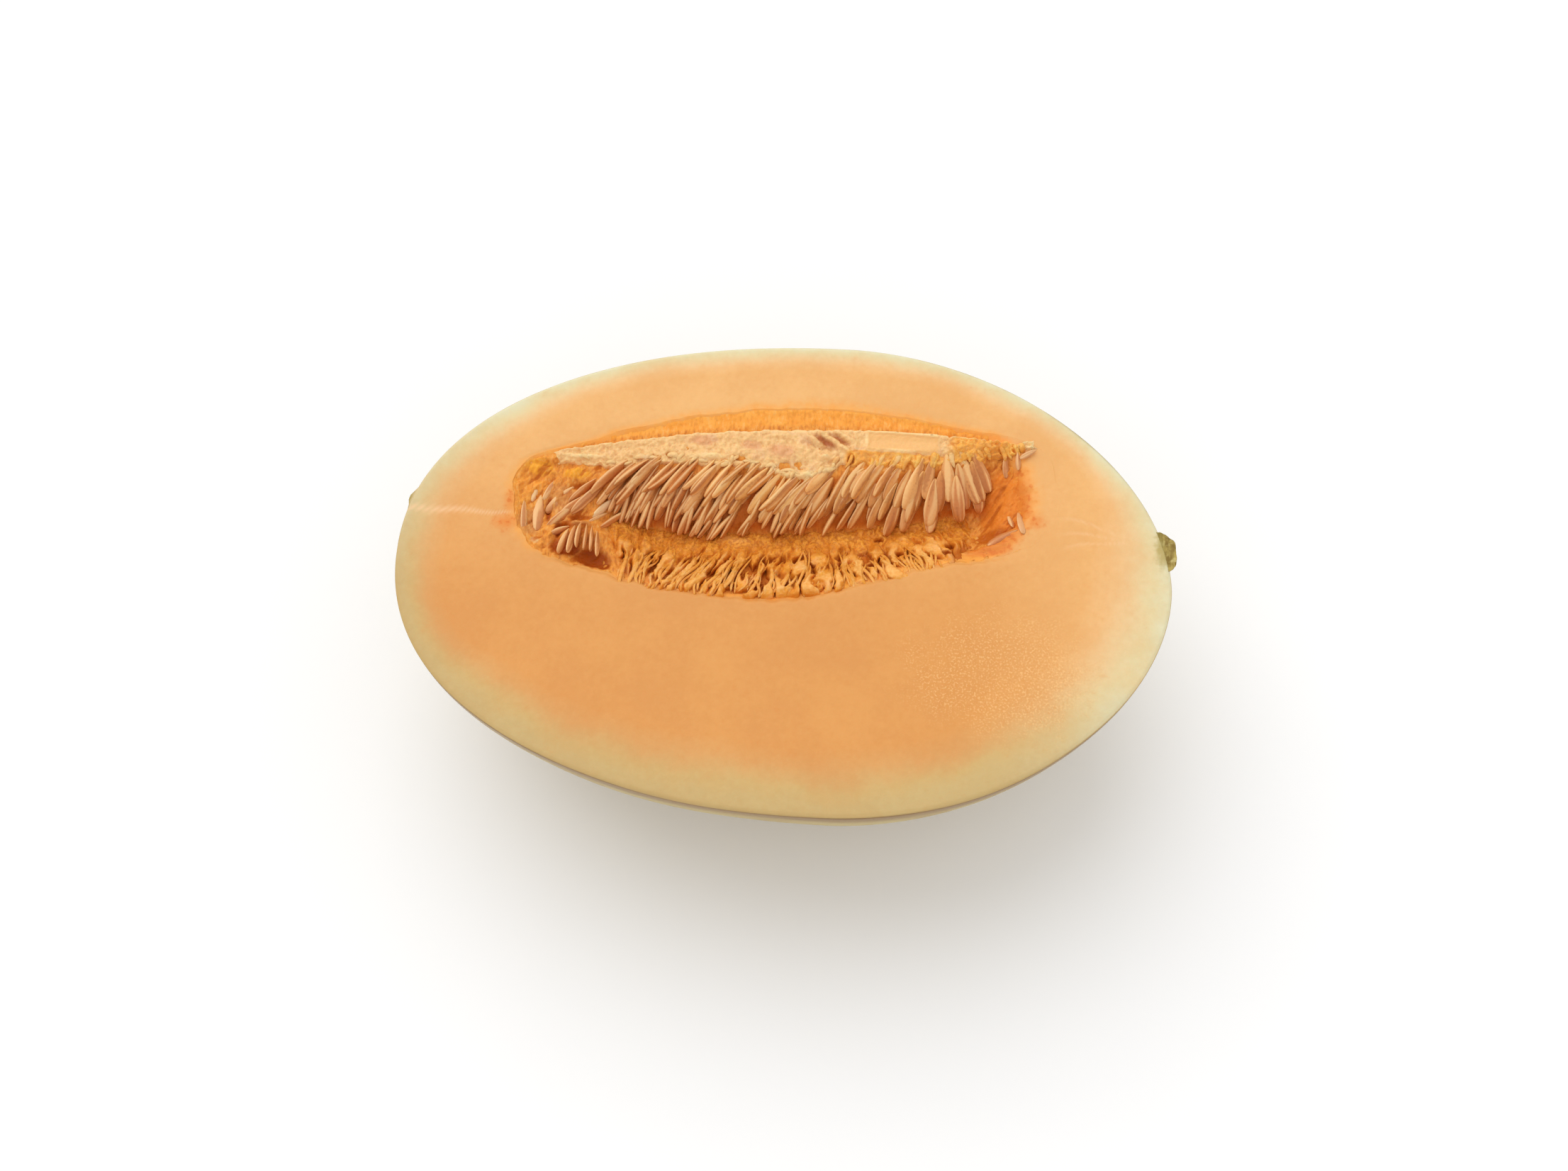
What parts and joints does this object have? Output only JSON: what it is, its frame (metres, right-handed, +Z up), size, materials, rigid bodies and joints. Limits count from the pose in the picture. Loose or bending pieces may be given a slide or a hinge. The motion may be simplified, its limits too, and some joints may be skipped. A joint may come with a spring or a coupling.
{
  "type": "melon half",
  "caption": "Half of an oval melon cut lengthwise, lying on its rind, with pale orange flesh, a hollow full of seeds on torn pulp and a short stem stub.",
  "frame": {"origin": "middle of the footprint, on the surface that the rind rests on", "axes": "+X towards the stem end, +Y away from the viewer of the picture, +Z up out of the level cut face"},
  "size_m": [0.172, 0.1126, 0.0542],
  "materials": {
    "flesh": "moist, soft-edged orange flesh with a pale green band under a thin rind",
    "seeds": "wet tan seeds on stringy orange pulp",
    "stem": "dry, corky olive brown"
  },
  "bodies": {
    "root": {"melon_half": "flesh", "seed_mass": "seeds", "stem_stub": "stem"}
  },
  "joints": []
}
